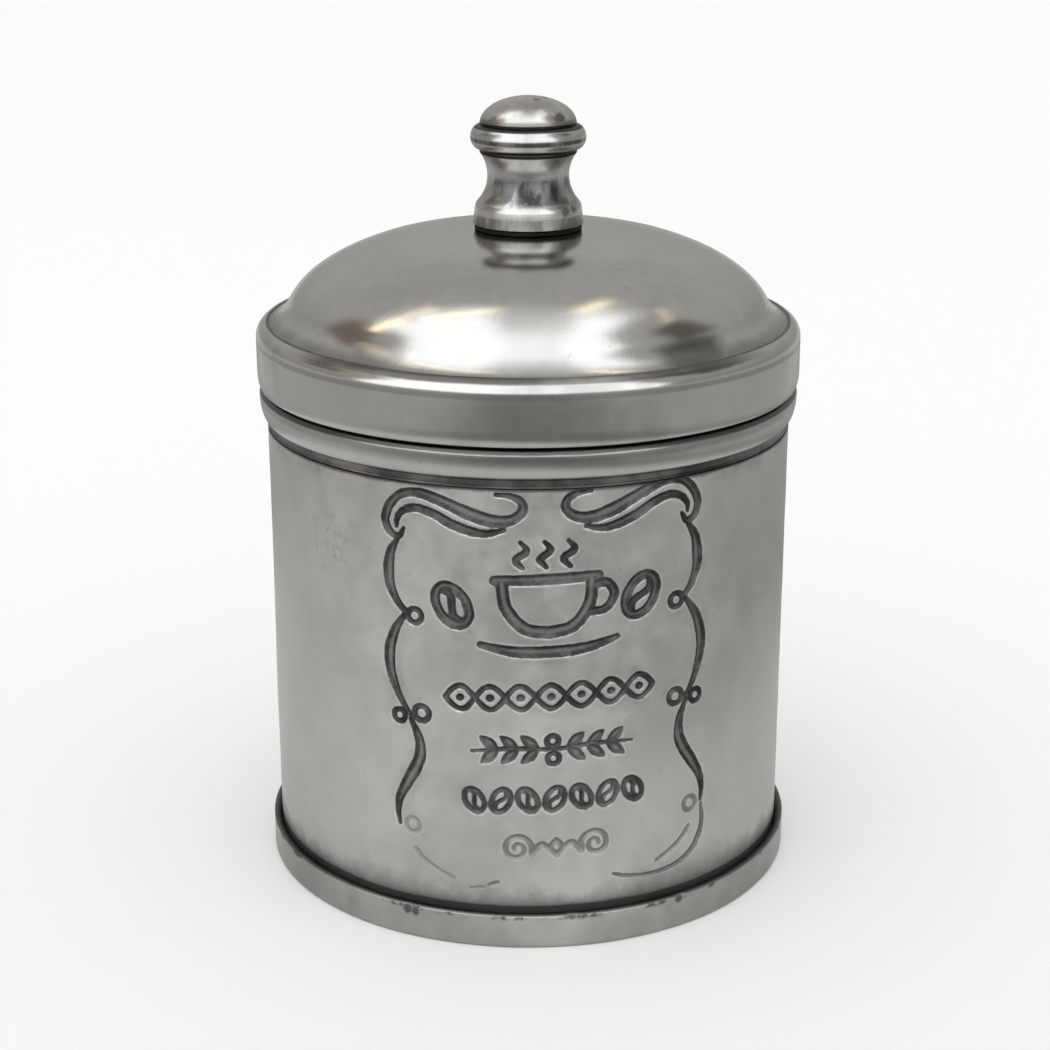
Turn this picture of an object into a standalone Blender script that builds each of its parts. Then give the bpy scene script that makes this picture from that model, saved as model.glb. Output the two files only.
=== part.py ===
"""Coffee tin: a round pewter canister with a lift-off domed lid and a turned knob.

Metres, +Z up. The origin is the centre of the underside, where the tin stands.
Every piece is turned about the Z axis. The front of the tin faces -Y.

The lid is parented to two empties on the axis: it lifts off together with the seal
inside it, and it turns round on the seal while it is on the neck.
"""
import math

import bmesh
import bpy

MM = 0.001

# Driving dimensions of the canister
WALL_RADIUS = 50.0 * MM
SHEET = 1.0 * MM
FOOT_RADIUS = 51.6 * MM
FOOT_HEIGHT = 6.5 * MM
WALL_TOP = 87.0 * MM
BEAD_PROUD = 1.37 * MM
BEAD_MIDDLE = 93.2 * MM
BEAD_TOP = 94.4 * MM
NECK_RADIUS = 50.1 * MM
NECK_TOP = 101.0 * MM

# Driving dimensions of the lid
SKIRT_RADIUS = 51.65 * MM
SKIRT_BOTTOM = 94.7 * MM
SHOULDER_START = 104.0 * MM
SHOULDER_ROUND = 3.0 * MM
DOME_RADIUS = 46.9 * MM
DOME_BASE = 103.3 * MM
DOME_RISE = 21.875 * MM
DOME_SHELL = 0.8 * MM
DOME_POWER_R = 1.92
DOME_POWER_Z = 2.44
CROWN_RADIUS = 30.0 * MM
CROWN_DROP = 1.65 * MM
SEAT_HEIGHT = 123.4 * MM
FLARE_START = 45.3 * MM
FLARE_ROUND = 9.55 * MM
FLARE_EDGE = 49.3 * MM

# Driving dimensions of the knob
KNOB_BOTTOM = 124.45 * MM
FOOT_OF_KNOB = 10.3 * MM
WAIST_RADIUS = 7.67 * MM
WAIST_HEIGHT = 133.5 * MM
WAIST_HOLLOW = 7.1 * MM
FOOT_ROUND = 2.06 * MM
GROOVE_HEIGHT = 137.8 * MM
BEAD_OF_KNOB = 10.8 * MM
KNOB_BEAD_HEIGHT = 140.6 * MM
KNOB_BEAD_HALF = 2.25 * MM
CAP_RADIUS = 9.05 * MM
CAP_RISE = 5.05 * MM
SCREW_RADIUS = 1.9 * MM

GAP = 0.3 * MM
LARGE_STEPS = 48
SMALL_STEPS = 32
SCREW_STEPS = 24


def clear_scene():
    for thing in list(bpy.data.objects):
        bpy.data.objects.remove(thing, do_unlink=True)


def material(name, colour, roughness, metallic):
    made = bpy.data.materials.new(name)
    made.use_nodes = True
    shader = made.node_tree.nodes["Principled BSDF"]
    shader.inputs["Base Color"].default_value = (*colour, 1.0)
    shader.inputs["Roughness"].default_value = roughness
    shader.inputs["Metallic"].default_value = metallic
    made.diffuse_color = (*colour, 1.0)
    return made


def arc(centre_r, centre_z, radius_r, radius_z, start, end, steps):
    """Points on an ellipse's arc. 0 degrees points away from the axis, 90 up."""
    points = []
    for step in range(steps + 1):
        angle = math.radians(start + (end - start) * step / steps)
        points.append((centre_r + radius_r * math.cos(angle), centre_z + radius_z * math.sin(angle)))
    return points


def turned(name, outline, steps, finish, parent):
    """Turn an outline of (radius, height) points about the Z axis into a closed solid.

    An outline that begins and ends on the axis is left open there. Any other is a ring's
    cross-section and is closed.
    """
    shape = bmesh.new()
    corners = [shape.verts.new((r, 0.0, z)) for r, z in outline]
    edges = [shape.edges.new(pair) for pair in zip(corners[:-1], corners[1:])]
    if outline[0][0] > 0.0:
        edges.append(shape.edges.new((corners[-1], corners[0])))
    bmesh.ops.spin(
        shape,
        geom=corners + edges,
        cent=(0.0, 0.0, 0.0),
        axis=(0.0, 0.0, 1.0),
        angle=math.tau,
        steps=steps,
        use_merge=True,
    )
    bmesh.ops.remove_doubles(shape, verts=shape.verts, dist=0.00001)
    bmesh.ops.recalc_face_normals(shape, faces=shape.faces)
    mesh = bpy.data.meshes.new(name)
    shape.to_mesh(mesh)
    shape.free()
    mesh.shade_smooth()
    mesh.set_sharp_from_angle(angle=math.radians(35.0))
    mesh.materials.append(finish)
    piece = bpy.data.objects.new(name, mesh)
    bpy.context.collection.objects.link(piece)
    piece.parent = parent
    return piece


def axis_empty(name, parent):
    empty = bpy.data.objects.new(name, None)
    empty.empty_display_size = 20.0 * MM
    bpy.context.collection.objects.link(empty)
    empty.parent = parent
    return empty


def dome_height(radius, inset):
    """Height of the dome's outer surface, or of a surface inset below it."""
    reach = DOME_RADIUS - inset
    rise = DOME_RISE - inset
    share = max(0.0, 1.0 - (radius / reach) ** DOME_POWER_R)
    height = DOME_BASE + rise * share ** (1.0 / DOME_POWER_Z)
    if radius < CROWN_RADIUS:
        height -= CROWN_DROP * (1.0 - (radius / CROWN_RADIUS) ** 2) ** 2
    return min(height, SEAT_HEIGHT - inset)


def dome_slope():
    """Angle below the horizontal at which the dome runs into its flare."""
    step = 0.01 * MM
    drop = dome_height(FLARE_START - step, 0.0) - dome_height(FLARE_START + step, 0.0)
    return math.atan2(drop, 2.0 * step)


def dome_curve(inset, first_radius, steps, flare_edge, flare_steps):
    """Dome points from first_radius outwards to where the flare reaches flare_edge."""
    slope = dome_slope()
    start_r = FLARE_START - inset * math.sin(slope)
    start_z = dome_height(FLARE_START, 0.0) - inset * math.cos(slope)
    reach = DOME_RADIUS - inset
    first = math.asin(first_radius / reach)
    last = math.asin(start_r / reach)
    points = []
    for step in range(steps):
        radius = reach * math.sin(first + (last - first) * step / steps)
        points.append((radius, dome_height(radius, inset)))
    bend = FLARE_ROUND + inset
    centre_r = start_r + bend * math.sin(slope)
    centre_z = start_z + bend * math.cos(slope)
    end = math.asin((centre_r - flare_edge) / bend)
    for step in range(flare_steps + 1):
        angle = slope + (end - slope) * step / flare_steps
        points.append((centre_r - bend * math.sin(angle), centre_z - bend * math.cos(angle)))
    return points


def foot_ring(finish):
    """Moulded foot band. The wall stands inside it on an inner lip."""
    edge = 0.5 * MM
    lip_radius = 45.5 * MM
    lip_height = 1.2 * MM
    wall_side = WALL_RADIUS + GAP
    outline = [(lip_radius, 0.0)]
    outline += arc(FOOT_RADIUS - edge, edge, edge, edge, -90.0, 0.0, 2)
    outline += arc(FOOT_RADIUS - edge, FOOT_HEIGHT - edge, edge, edge, 0.0, 90.0, 3)
    outline += [(wall_side, FOOT_HEIGHT), (wall_side, lip_height), (lip_radius, lip_height)]
    return turned("foot_ring", outline, LARGE_STEPS, finish, None)


def base_disc(finish):
    """Pressed bottom plate with a turned-up rim, lying on the foot ring's lip."""
    thickness = 0.8 * MM
    underside = 1.5 * MM
    rim_top = 5.0 * MM
    outer = WALL_RADIUS - SHEET - GAP
    outline = [
        (0.0, underside),
        (outer - thickness, underside),
        (outer, underside + thickness),
        (outer, rim_top),
        (outer - thickness, rim_top),
        (outer - thickness, underside + thickness),
        (0.0, underside + thickness),
    ]
    return turned("base_disc", outline, LARGE_STEPS, finish, None)


def body_wall(finish):
    """Rolled sheet tube that carries the engraving on its front."""
    bottom = 1.5 * MM
    inner = WALL_RADIUS - SHEET
    outline = [(inner, bottom), (WALL_RADIUS, bottom), (WALL_RADIUS, WALL_TOP), (inner, WALL_TOP)]
    return turned("body_wall", outline, LARGE_STEPS, finish, None)


def neck_collar(finish):
    """Spun collar: a sleeve inside the wall, a half-round bead, and the neck above it."""
    bottom = WALL_TOP + GAP
    groove_radius = WALL_RADIUS - 0.35 * MM
    bead_bottom = 88.8 * MM
    sleeve_outer = WALL_RADIUS - SHEET - GAP
    sleeve_inner = sleeve_outer - 0.8 * MM
    sleeve_bottom = 80.0 * MM
    neck_inner = NECK_RADIUS - 0.9 * MM
    curl = 0.45 * MM
    outline = [(WALL_RADIUS, bottom), (groove_radius, bottom + 0.3 * MM), (groove_radius, bead_bottom - 0.2 * MM)]
    outline += arc(WALL_RADIUS, BEAD_MIDDLE, BEAD_PROUD, BEAD_MIDDLE - bead_bottom, -90.0, 0.0, 6)
    outline += arc(WALL_RADIUS, BEAD_MIDDLE, BEAD_PROUD, BEAD_TOP - BEAD_MIDDLE, 30.0, 70.0, 2)
    outline += [(NECK_RADIUS, BEAD_TOP)]
    outline += arc(NECK_RADIUS - curl, NECK_TOP - curl, curl, curl, 0.0, 180.0, 4)
    outline += [
        (neck_inner, BEAD_MIDDLE),
        (sleeve_inner, BEAD_MIDDLE - 3.0 * MM),
        (sleeve_inner, sleeve_bottom),
        (sleeve_outer, sleeve_bottom),
        (sleeve_outer, bottom),
    ]
    return turned("neck_collar", outline, LARGE_STEPS, finish, None)


def lid_seal(finish, parent):
    """Rubber ring between the neck's rim and the ledge inside the lid."""
    inner = 47.4 * MM
    outer = 50.5 * MM
    bottom = NECK_TOP + GAP
    top = 103.9 * MM
    edge = 0.4 * MM
    outline = [
        (inner, bottom + edge),
        (inner + edge, bottom),
        (outer - edge, bottom),
        (outer, bottom + edge),
        (outer, top),
        (inner, top),
    ]
    return turned("lid_seal", outline, LARGE_STEPS, finish, parent)


def lid_skirt(finish, parent):
    """Spun band with a hemmed lower edge, a rolled shoulder and a ledge for the dome."""
    shell = 0.75 * MM
    roll_in = 0.7 * MM
    roll_height = 3.0 * MM
    hem_inner = 50.45 * MM
    hem_top = 98.5 * MM
    inner = SKIRT_RADIUS - shell
    shoulder_centre = SKIRT_RADIUS - SHOULDER_ROUND
    step_radius = FLARE_EDGE + GAP
    ledge_inner = 45.6 * MM
    ledge_top = 105.0 * MM
    ledge_bottom = 104.2 * MM
    inner_round = SHOULDER_ROUND - shell
    outline = [(hem_inner, SKIRT_BOTTOM + 0.2 * MM), (hem_inner + 0.3 * MM, SKIRT_BOTTOM)]
    outline += arc(SKIRT_RADIUS - roll_in, SKIRT_BOTTOM + roll_height, roll_in, roll_height, -90.0, 0.0, 4)
    outline += arc(shoulder_centre, SHOULDER_START, SHOULDER_ROUND, SHOULDER_ROUND, 0.0, 66.0, 6)
    outline += [(step_radius, SHOULDER_START + 2.5 * MM), (step_radius, ledge_top)]
    outline += [(ledge_inner, ledge_top), (ledge_inner, ledge_bottom)]
    outline += [(shoulder_centre + inner_round * math.cos(math.radians(5.0)), ledge_bottom)]
    outline += [(inner, hem_top + 0.5 * MM), (hem_inner, hem_top)]
    return turned("lid_skirt", outline, LARGE_STEPS, finish, parent)


def lid_dome(finish, parent):
    """Spun dome that flares to the shoulder. Its edge is turned down onto the skirt's ledge.
    The crown has a hole for the knob's screw."""
    hole = SCREW_RADIUS + 0.4 * MM
    edge_bottom = 105.3 * MM
    edge_width = 1.1 * MM
    seat_edge = 10.0 * MM
    outer = [(hole, SEAT_HEIGHT)]
    outer += dome_curve(0.0, seat_edge, 9, FLARE_EDGE, 4)
    outer += [(FLARE_EDGE, edge_bottom)]
    inner = [(hole, SEAT_HEIGHT - DOME_SHELL)]
    inner += dome_curve(DOME_SHELL, seat_edge, 8, FLARE_EDGE - edge_width, 3)
    inner += [(FLARE_EDGE - edge_width, edge_bottom)]
    return turned("lid_dome", outer + inner[::-1], LARGE_STEPS, finish, parent)


def knob_washer(finish, parent):
    """Thin fibre washer between the dome's seat and the knob's foot."""
    inner = SCREW_RADIUS + 0.5 * MM
    outer = FOOT_OF_KNOB - 0.2 * MM
    bottom = SEAT_HEIGHT + 0.2 * MM
    top = KNOB_BOTTOM - 0.2 * MM
    outline = [(inner, bottom), (outer, bottom), (outer, top), (inner, top)]
    return turned("knob_washer", outline, SMALL_STEPS, finish, parent)


def knob(finish, parent):
    """Turned knob: foot, hollow waist, bead between two grooves, domed cap, blind bore."""
    bore_radius = SCREW_RADIUS + 0.35 * MM
    bore_top = 136.0 * MM
    edge = 0.25 * MM
    waist_centre = WAIST_RADIUS + WAIST_HOLLOW
    round_centre = FOOT_OF_KNOB - FOOT_ROUND
    reach = FOOT_ROUND + WAIST_HOLLOW
    across = waist_centre - round_centre
    round_height = WAIST_HEIGHT - math.sqrt(reach**2 - across**2)
    meeting = math.degrees(math.acos(across / reach))
    groove_angle = math.degrees(math.asin((GROOVE_HEIGHT - WAIST_HEIGHT) / WAIST_HOLLOW))
    groove_depth = 0.35 * MM
    bead_core = 9.0 * MM
    cap_bottom = KNOB_BEAD_HEIGHT + KNOB_BEAD_HALF + 0.15 * MM
    outline = [(0.0, bore_top), (bore_radius, bore_top), (bore_radius, KNOB_BOTTOM)]
    outline += [(FOOT_OF_KNOB - edge, KNOB_BOTTOM), (FOOT_OF_KNOB, KNOB_BOTTOM + edge)]
    outline += arc(round_centre, round_height, FOOT_ROUND, FOOT_ROUND, 0.0, meeting, 3)
    outline += arc(
        waist_centre, WAIST_HEIGHT, WAIST_HOLLOW, WAIST_HOLLOW, 180.0 + meeting - 4.0, 180.0 - groove_angle, 7
    )
    groove_radius = outline[-1][0] - groove_depth
    outline += [(groove_radius, GROOVE_HEIGHT + 0.15 * MM), (groove_radius, GROOVE_HEIGHT + 0.4 * MM)]
    outline += arc(
        bead_core, KNOB_BEAD_HEIGHT, BEAD_OF_KNOB - bead_core, KNOB_BEAD_HALF, -80.0, 80.0, 6
    )
    outline += [(CAP_RADIUS - groove_depth, cap_bottom)]
    outline += arc(0.0, cap_bottom, CAP_RADIUS, CAP_RISE, 3.0, 75.0, 5)
    outline += [(0.0, cap_bottom + CAP_RISE)]
    return turned("knob", outline, SMALL_STEPS, finish, parent)


def screw_washer(finish, parent):
    """Steel washer under the screw's head, inside the dome."""
    inner = SCREW_RADIUS + 0.4 * MM
    outer = 5.5 * MM
    top = SEAT_HEIGHT - DOME_SHELL - GAP
    bottom = top - 0.8 * MM
    outline = [(inner, bottom), (outer, bottom), (outer, top), (inner, top)]
    return turned("screw_washer", outline, SCREW_STEPS, finish, parent)


def knob_screw(finish, parent):
    """Slotted pan-head screw, driven from inside the dome up into the knob."""
    head_radius = 3.9 * MM
    head_top = SEAT_HEIGHT - DOME_SHELL - 2.0 * GAP - 0.8 * MM
    head_bottom = head_top - 2.4 * MM
    tip = 134.5 * MM
    slot_width = 1.0 * MM
    slot_depth = 1.1 * MM
    outline = [(0.0, head_bottom), (head_radius - 0.8 * MM, head_bottom)]
    outline += arc(head_radius - 0.8 * MM, head_bottom + 0.8 * MM, 0.8 * MM, 0.8 * MM, -45.0, 0.0, 2)
    outline += [(head_radius, head_top), (SCREW_RADIUS, head_top), (SCREW_RADIUS, tip - 0.5 * MM)]
    outline += [(SCREW_RADIUS - 0.5 * MM, tip), (0.0, tip)]
    screw = turned("knob_screw", outline, SCREW_STEPS, finish, parent)

    slot_mesh = bpy.data.meshes.new("slot_cutter")
    slot_shape = bmesh.new()
    bmesh.ops.create_cube(slot_shape, size=1.0)
    bmesh.ops.scale(slot_shape, vec=(3.0 * head_radius, slot_width, 2.0 * slot_depth), verts=slot_shape.verts)
    bmesh.ops.translate(slot_shape, vec=(0.0, 0.0, head_bottom), verts=slot_shape.verts)
    slot_shape.to_mesh(slot_mesh)
    slot_shape.free()
    slot = bpy.data.objects.new("slot_cutter", slot_mesh)
    bpy.context.collection.objects.link(slot)
    slot.display_type = "WIRE"
    slot.hide_render = True
    slot.parent = parent
    cut = screw.modifiers.new("drive_slot", "BOOLEAN")
    cut.operation = "DIFFERENCE"
    cut.solver = "EXACT"
    cut.object = slot
    return screw


def main():
    clear_scene()
    satin_pewter = material("satin_pewter", (0.42, 0.41, 0.39), 0.36, 1.0)
    polished_pewter = material("polished_pewter", (0.46, 0.455, 0.44), 0.2, 1.0)
    inner_tin = material("inner_tin", (0.5, 0.5, 0.49), 0.4, 1.0)
    seal_rubber = material("seal_rubber", (0.06, 0.06, 0.06), 0.7, 0.0)
    washer_fibre = material("washer_fibre", (0.02, 0.02, 0.02), 0.8, 0.0)
    plain_steel = material("plain_steel", (0.55, 0.55, 0.56), 0.3, 1.0)

    foot_ring(satin_pewter)
    base_disc(inner_tin)
    body_wall(satin_pewter)
    neck_collar(polished_pewter)

    lift_axis = axis_empty("lid_lift_axis", None)
    lid_seal(seal_rubber, lift_axis)
    turn_axis = axis_empty("lid_turn_axis", lift_axis)
    lid_skirt(polished_pewter, turn_axis)
    lid_dome(polished_pewter, turn_axis)
    knob_washer(washer_fibre, turn_axis)
    knob(polished_pewter, turn_axis)
    screw_washer(plain_steel, turn_axis)
    knob_screw(plain_steel, turn_axis)


main()
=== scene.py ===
"""Looks of the coffee tin: fine turned shells, an engraved wall, and worn pewter materials.

Metres, +Z up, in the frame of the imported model. The engraved front faces -Y.
The engraving is drawn in millimetres on the unrolled wall: x to the right, y up.
"""
import math

import bpy
import numpy as np
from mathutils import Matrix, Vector

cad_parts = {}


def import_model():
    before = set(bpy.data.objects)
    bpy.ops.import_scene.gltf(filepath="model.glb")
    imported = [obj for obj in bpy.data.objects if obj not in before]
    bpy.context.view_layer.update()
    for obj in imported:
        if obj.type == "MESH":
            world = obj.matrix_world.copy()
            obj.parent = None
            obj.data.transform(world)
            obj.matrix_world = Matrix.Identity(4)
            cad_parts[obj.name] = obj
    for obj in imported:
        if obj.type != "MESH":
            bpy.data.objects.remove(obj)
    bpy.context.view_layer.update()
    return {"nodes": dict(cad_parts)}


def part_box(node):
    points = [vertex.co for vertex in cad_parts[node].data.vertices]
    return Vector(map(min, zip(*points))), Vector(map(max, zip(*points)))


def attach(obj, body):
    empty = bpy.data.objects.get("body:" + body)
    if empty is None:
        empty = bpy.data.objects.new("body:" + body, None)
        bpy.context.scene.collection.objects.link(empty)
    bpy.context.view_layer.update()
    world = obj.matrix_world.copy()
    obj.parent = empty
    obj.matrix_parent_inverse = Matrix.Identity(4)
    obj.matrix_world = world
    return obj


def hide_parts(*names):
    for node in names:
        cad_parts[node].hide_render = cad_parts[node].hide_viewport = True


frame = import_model()

MM = 0.001


# ---------------------------------------------------------------- sizes from the frame

def top_of(node):
    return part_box(node)[1].z


def bottom_of(node):
    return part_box(node)[0].z


def radius_of(node):
    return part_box(node)[1].x


WALL_RADIUS = radius_of("body_wall")
WALL_BOTTOM = bottom_of("body_wall")
WALL_TOP = top_of("body_wall")
SHEET = 1.0 * MM
FOOT_RADIUS = radius_of("foot_ring")
FOOT_TOP = top_of("foot_ring")
NECK_TOP = top_of("neck_collar")
COLLAR_BOTTOM = bottom_of("neck_collar")
SKIRT_RADIUS = radius_of("lid_skirt")
SKIRT_BOTTOM = bottom_of("lid_skirt")
SEAT_HEIGHT = top_of("lid_dome")
KNOB_BOTTOM = bottom_of("knob")
KNOB_TOP = top_of("knob")


# ---------------------------------------------------------------- mesh tools

def arc(centre_r, centre_z, radius_r, radius_z, start, end, steps):
    """Points on an ellipse's arc. 0 degrees points away from the axis, 90 up."""
    angles = np.radians(np.linspace(start, end, steps + 1))
    return [(centre_r + radius_r * math.cos(a), centre_z + radius_z * math.sin(a)) for a in angles]


def soft_noise(points, size, seed):
    """Smooth random values between about -1 and 1, as a sum of a few waves of one size."""
    waves = np.random.default_rng(seed)
    total = np.zeros(len(points))
    count = 9
    for _ in range(count):
        direction = waves.normal(size=3)
        direction /= np.linalg.norm(direction)
        phase = waves.uniform(0.0, math.tau)
        stretch = waves.uniform(0.7, 1.4)
        total += np.sin(points @ direction * math.tau / (size * stretch) + phase)
    return total / math.sqrt(count)


def mesh_object(name, points, faces, sharp_angle=40.0):
    mesh = bpy.data.meshes.new(name)
    mesh.from_pydata(points.tolist(), [], faces)
    mesh.update()
    mesh.shade_smooth()
    if sharp_angle:
        mesh.set_sharp_from_angle(angle=math.radians(sharp_angle))
    made = bpy.data.objects.new(name, mesh)
    bpy.context.scene.collection.objects.link(made)
    return made


def turned(name, outline, steps, uneven=0.0, uneven_size=30.0 * MM, seed=1):
    """Turn (radius, height) points about Z. Points run counter-clockwise round the section:
    up the outside and down the inside. A closed ring's section is closed, and one that
    starts and ends on the axis is capped there.
    uneven moves the surface in and out by that much, as hand work does."""
    outline = np.array(outline, float)
    on_axis = outline[:, 0] < 1e-9
    capped = bool(on_axis[0])
    body = outline[~on_axis]
    angles = np.linspace(0.0, math.tau, steps, endpoint=False)
    circle = np.stack([np.sin(angles), -np.cos(angles)], 1)
    points = np.concatenate(
        [np.column_stack([circle * r, np.full(steps, z)]) for r, z in body]
    )
    if uneven:
        outward = np.zeros_like(points)
        outward[:, :2] = np.tile(circle, (len(body), 1))
        points += outward * (uneven * soft_noise(points, uneven_size, seed))[:, None]
    faces = []
    rows = len(body)
    spans = rows - 1 if capped else rows
    for row in range(spans):
        low, high = row * steps, ((row + 1) % rows) * steps
        for i in range(steps):
            j = (i + 1) % steps
            faces.append((low + i, low + j, high + j, high + i))
    if capped:
        first, last = len(points), len(points) + 1
        caps = np.array([[0.0, 0.0, outline[0, 1]], [0.0, 0.0, outline[-1, 1]]])
        points = np.concatenate([points, caps])
        top = (rows - 1) * steps
        for i in range(steps):
            j = (i + 1) % steps
            faces.append((first, j, i))
            faces.append((last, top + i, top + j))
    return mesh_object(name, points, faces)


def place(piece, finish, body, slot, *nodes):
    """Give a piece its material and its body, and hide the CAD nodes it stands for. The slot is not used."""
    piece.data.materials.append(finish)
    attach(piece, body)
    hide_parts(*nodes)
    return piece


# ---------------------------------------------------------------- material tools

class Nodes:
    """Builds a node tree by short calls. A value may be a number, a colour, a vector or
    another node's socket."""

    def __init__(self, tree):
        self.tree = tree

    def node(self, kind, inputs=(), **settings):
        made = self.tree.nodes.new(kind)
        for key, value in settings.items():
            setattr(made, key, value)
        for key, value in dict(inputs).items():
            self.feed(made.inputs[key], value)
        return made

    def feed(self, socket, value):
        if isinstance(value, bpy.types.NodeSocket):
            self.tree.links.new(value, socket)
        else:
            socket.default_value = value

    def math(self, operation, a, b=0.0, c=0.0):
        return self.node("ShaderNodeMath", {0: a, 1: b, 2: c}, operation=operation).outputs[0]

    def product(self, *values):
        total = values[0]
        for value in values[1:]:
            total = self.math("MULTIPLY", total, value)
        return total

    def most(self, *values):
        total = values[0]
        for value in values[1:]:
            total = self.math("MAXIMUM", total, value)
        return total

    def vector(self, operation, a, b):
        made = self.node("ShaderNodeVectorMath", {0: a, 1: b}, operation=operation)
        return made.outputs["Value" if operation in ("DOT_PRODUCT", "DISTANCE") else "Vector"]

    def ramp(self, value, low, high, to_low=0.0, to_high=1.0):
        """Smooth step of value from low..high to to_low..to_high."""
        inputs = {"Value": value, "From Min": low, "From Max": high, "To Min": to_low, "To Max": to_high}
        return self.node("ShaderNodeMapRange", inputs, interpolation_type="SMOOTHSTEP").outputs[0]

    def between(self, value, low, high, low_fade, high_fade):
        """1 from low to high, fading to 0 outside."""
        rising = self.ramp(value, low - low_fade, low)
        return self.product(rising, self.ramp(value, high, high + high_fade, 1.0, 0.0))

    def mix(self, share, first, second):
        made = self.node("ShaderNodeMix", {0: share}, data_type="RGBA")
        self.feed(made.inputs[6], first)
        self.feed(made.inputs[7], second)
        return made.outputs[2]


class Finish(Nodes):
    """A metal, rubber or fibre material."""

    def __init__(self, name):
        self.material = bpy.data.materials.new(name)
        self.material.use_nodes = True
        super().__init__(self.material.node_tree)
        self.shader = self.tree.nodes["Principled BSDF"]
        self.place = self.node("ShaderNodeTexCoord").outputs["Object"]

    def noise(self, scale, detail=3.0, roughness=0.55, stretch=(1.0, 1.0, 1.0), seat=(0.0, 0.0, 0.0)):
        moved = self.node(
            "ShaderNodeMapping", {"Vector": self.place, "Scale": stretch, "Location": seat}
        ).outputs[0]
        inputs = {"Vector": moved, "Scale": scale, "Detail": detail, "Roughness": roughness}
        return self.node("ShaderNodeTexNoise", inputs).outputs["Fac"]

    def attribute(self, name):
        return self.node("ShaderNodeAttribute", attribute_name=name).outputs["Fac"]

    def height(self):
        return self.node("ShaderNodeSeparateXYZ", {0: self.place}).outputs["Z"]

    def spot(self, azimuth, radius, height, size, shake=0.5):
        """1 in a ragged spot on a turned surface, fading to 0 at its edge."""
        angle = math.radians(azimuth)
        centre = (radius * math.sin(angle), -radius * math.cos(angle), height)
        away = self.vector("DISTANCE", self.place, centre)
        ragged = self.math("SUBTRACT", self.noise(1.3 / size, 3.0, 0.6), 0.5)
        away = self.math("ADD", away, self.product(ragged, 2.0 * shake * size))
        return self.ramp(away, 0.45 * size, size, 1.0, 0.0)

    def bump(self, value, distance, strength=1.0, under=None):
        inputs = {"Height": value, "Distance": distance, "Strength": strength}
        made = self.node("ShaderNodeBump", inputs)
        if under is not None:
            self.feed(made.inputs["Normal"], under)
        return made.outputs[0]

    def surface(self, **values):
        for key, value in values.items():
            self.feed(self.shader.inputs[key.replace("_", " ")], value)
        return self.material


PATINA_AND_SHADE = (0.018, 0.017, 0.015, 1.0)


def grey(level, warmth=0.03):
    """A metal grey: a little less blue than red."""
    return (level, level * (1.0 - warmth * 0.5), level * (1.0 - warmth * 1.9), 1.0)


def pewter(name, level, roughness, patina_and_shade=None, lip_highlight=None, spun=0.35, clouds=0.12):
    """Worn pewter. Two optional functions of the finish: one gives the share of black at a point (patina,
    and on some parts painted shade and painted dark reflections), the other the share of painted highlight."""
    f = Finish(name)
    cloud = f.noise(38.0, 4.0, 0.6)
    wear = f.noise(210.0, 5.0, 0.65, seat=(3.0, 1.0, 2.0))
    tone = f.math("ADD", f.math("MULTIPLY", cloud, 0.65), f.math("MULTIPLY", wear, 0.35))
    tone = f.ramp(tone, 0.36, 0.64)
    bare = f.mix(tone, grey(level * (1.0 - clouds)), grey(level * (1.0 + clouds)))
    specks = f.ramp(f.noise(520.0, 2.0, 0.5, seat=(9.0, 4.0, 7.0)), 0.7, 0.78)
    bare = f.mix(f.math("MULTIPLY", specks, 0.25), bare, grey(level * 0.45, 0.05))
    lathe = f.noise(30.0, 3.0, 0.7, stretch=(1.0, 1.0, 150.0))
    grain = f.noise(2600.0, 2.0, 0.5)
    scratch = f.noise(900.0, 2.0, 0.4, stretch=(1.0, 1.0, 0.08), seat=(5.0, 5.0, 1.0))
    blend = f.math("ADD", f.math("MULTIPLY", cloud, 0.5), f.math("MULTIPLY", wear, 0.5))
    rough = f.ramp(blend, 0.3, 0.7, roughness * 0.82, roughness * 1.22)
    normal = f.bump(lathe, 0.02 * MM, spun)
    normal = f.bump(scratch, 0.012 * MM, 0.5, normal)
    normal = f.bump(grain, 0.01 * MM, 0.6, normal)
    colour = bare
    # Painted highlight: brighter metal along the lips of the engraved cuts.
    if lip_highlight is not None:
        colour = f.mix(lip_highlight(f), bare, grey(level * 1.45))
    # Mix in black: patina, and on some parts painted shade and painted dark reflections.
    if patina_and_shade is not None:
        share = patina_and_shade(f)
        colour = f.mix(share, colour, PATINA_AND_SHADE)
        rough = f.math("ADD", rough, f.math("MULTIPLY", share, 0.22))
    return f.surface(Base_Color=colour, Metallic=1.0, Roughness=rough, Normal=normal)


def axis_distance(f):
    """Distance from the tin's axis."""
    split = f.node("ShaderNodeSeparateXYZ", {0: f.place})
    across = f.math("POWER", split.outputs["X"], 2.0)
    along = f.math("POWER", split.outputs["Y"], 2.0)
    return f.math("SQRT", f.math("ADD", across, along))


def facing(f, start, full):
    """1 where a turned surface faces the front within `full` degrees, 0 beyond `start`."""
    forward = f.product(f.node("ShaderNodeSeparateXYZ", {0: f.place}).outputs["Y"], -1.0)
    share = f.math("DIVIDE", forward, f.math("MAXIMUM", axis_distance(f), 0.1 * MM))
    return f.ramp(share, math.cos(math.radians(start)), math.cos(math.radians(full)))


def outer_face(f, radius):
    """1 on the outer face of a tube, 0 on its inner face."""
    return f.ramp(axis_distance(f), radius - 0.85 * MM, radius - 0.6 * MM)


def band(f, low, high, fade, edge_noise=0.6):
    """A ring of dirt between two heights, with a soft uneven edge."""
    shake = f.math("MULTIPLY", f.math("SUBTRACT", f.noise(160.0, 4.0, 0.6), 0.5), edge_noise * fade)
    z = f.math("ADD", f.height(), shake)
    rising = f.ramp(z, low - fade, low)
    falling = f.ramp(z, high, high + fade, 1.0, 0.0)
    return f.math("MULTIPLY", rising, falling)


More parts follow.
